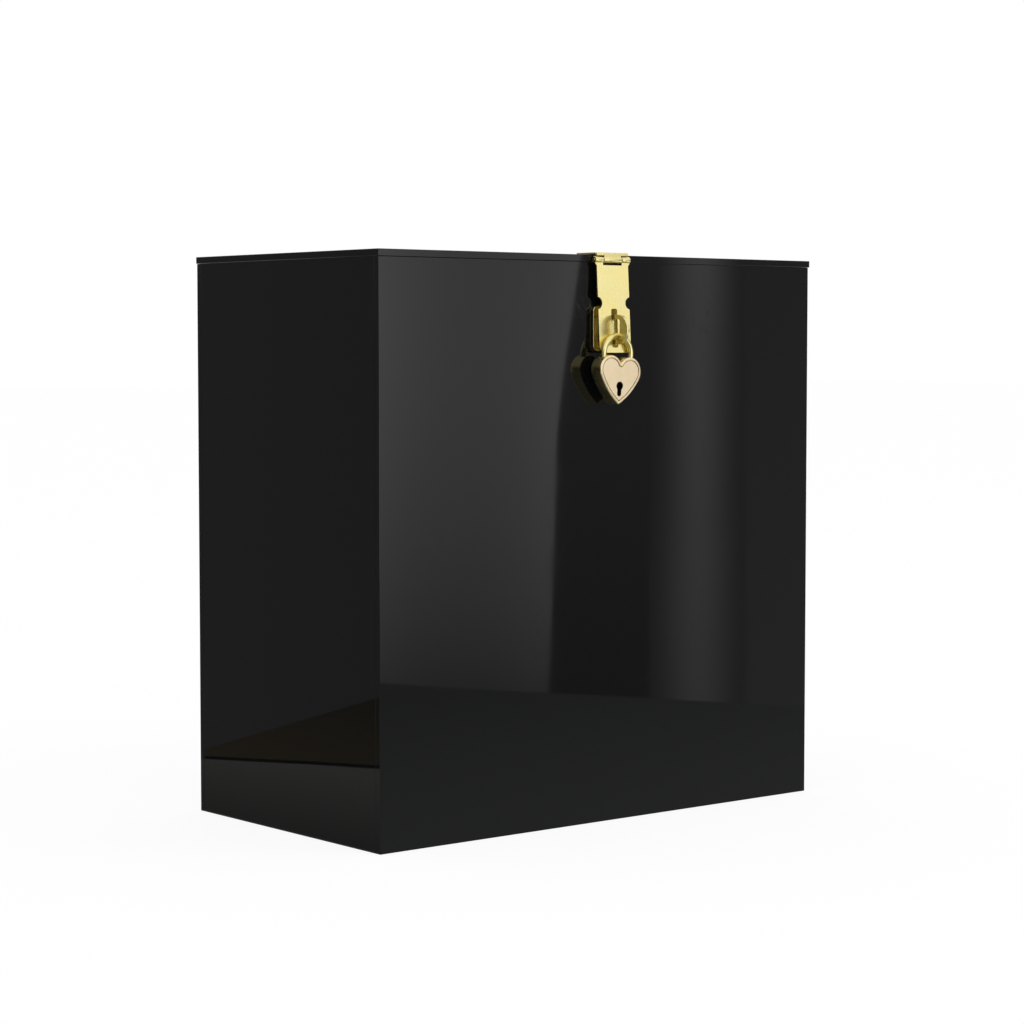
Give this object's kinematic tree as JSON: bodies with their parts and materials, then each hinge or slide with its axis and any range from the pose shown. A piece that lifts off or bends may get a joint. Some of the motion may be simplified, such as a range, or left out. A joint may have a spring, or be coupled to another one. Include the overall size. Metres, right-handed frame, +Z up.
{
  "type": "card box",
  "caption": "Upright glossy black acrylic card box with a slotted hinged lid, closed by a gold hasp and staple with a small heart-shaped padlock.",
  "frame": {"origin": "bottom centre of the box, on the surface it stands on", "axes": "+Z up, the front with the hasp looks along -Y, +X is to the right as seen from the front"},
  "size_m": [0.255, 0.1563, 0.258],
  "materials": {
    "acrylic": "polished black acrylic sheet",
    "gold": "polished gold plate",
    "pale_gold": "finely brushed pale gold plate",
    "steel": "plain plated steel"
  },
  "bodies": {
    "box": {"front_panel": "acrylic", "back_panel": "acrylic", "left_panel": "acrylic", "right_panel": "acrylic", "bottom_panel": "acrylic", "hinge_left_wall_leaf": "gold", "hinge_left_pin": "gold", "hinge_right_wall_leaf": "gold", "hinge_right_pin": "gold", "hinge_wall_screw_1": "gold", "hinge_wall_screw_2": "gold", "hinge_wall_screw_3": "gold", "hinge_wall_screw_4": "gold", "hinge_wall_nut_1": "gold", "hinge_wall_nut_2": "gold", "hinge_wall_nut_3": "gold", "hinge_wall_nut_4": "gold", "staple": "gold", "staple_screw_1": "gold", "staple_screw_2": "gold", "staple_nut_1": "gold", "staple_nut_2": "gold"},
    "lid": {"lid_panel": "acrylic", "hinge_left_lid_leaf": "gold", "hinge_right_lid_leaf": "gold", "hinge_lid_screw_1": "gold", "hinge_lid_screw_2": "gold", "hinge_lid_screw_3": "gold", "hinge_lid_screw_4": "gold", "hinge_lid_nut_1": "gold", "hinge_lid_nut_2": "gold", "hinge_lid_nut_3": "gold", "hinge_lid_nut_4": "gold", "hasp_leaf": "gold", "hasp_pin": "gold", "hasp_leaf_screw_1": "gold", "hasp_leaf_screw_2": "gold", "hasp_leaf_nut_1": "gold", "hasp_leaf_nut_2": "gold"},
    "strap": {"hasp_strap": "gold"},
    "shackle": {"lock_shackle": "gold"},
    "padlock_body": {"lock_case": "gold", "lock_cover": "pale_gold", "latch_spring": "steel"},
    "latch": {"lock_latch": "steel"}
  },
  "joints": [
    {"name": "lid_hinge", "type": "hinge", "parent": "box", "child": "lid", "pos_m": [0, 0.0714, 0.25615], "axis": [-1, 0, 0], "range_deg": [0, 240]},
    {"name": "strap_hinge", "type": "hinge", "parent": "lid", "child": "strap", "pos_m": [0, -0.07155, 0.2518], "axis": [-1, 0, 0], "range_deg": [0, 115]},
    {"name": "padlock_swing", "type": "hinge", "parent": "box", "child": "shackle", "pos_m": [0.0003, -0.07623, 0.21815], "axis": [-1, 0, 0], "range_deg": [-2, 150]},
    {"name": "shackle_release", "type": "slide", "parent": "shackle", "child": "padlock_body", "axis": [-0.0958, 0, -0.9954], "range_m": [0, 0.005]},
    {"name": "latch_slide", "type": "slide", "parent": "padlock_body", "child": "latch", "axis": [0.9954, 0, -0.0958], "range_m": [-0.0014, 0]}
  ]
}
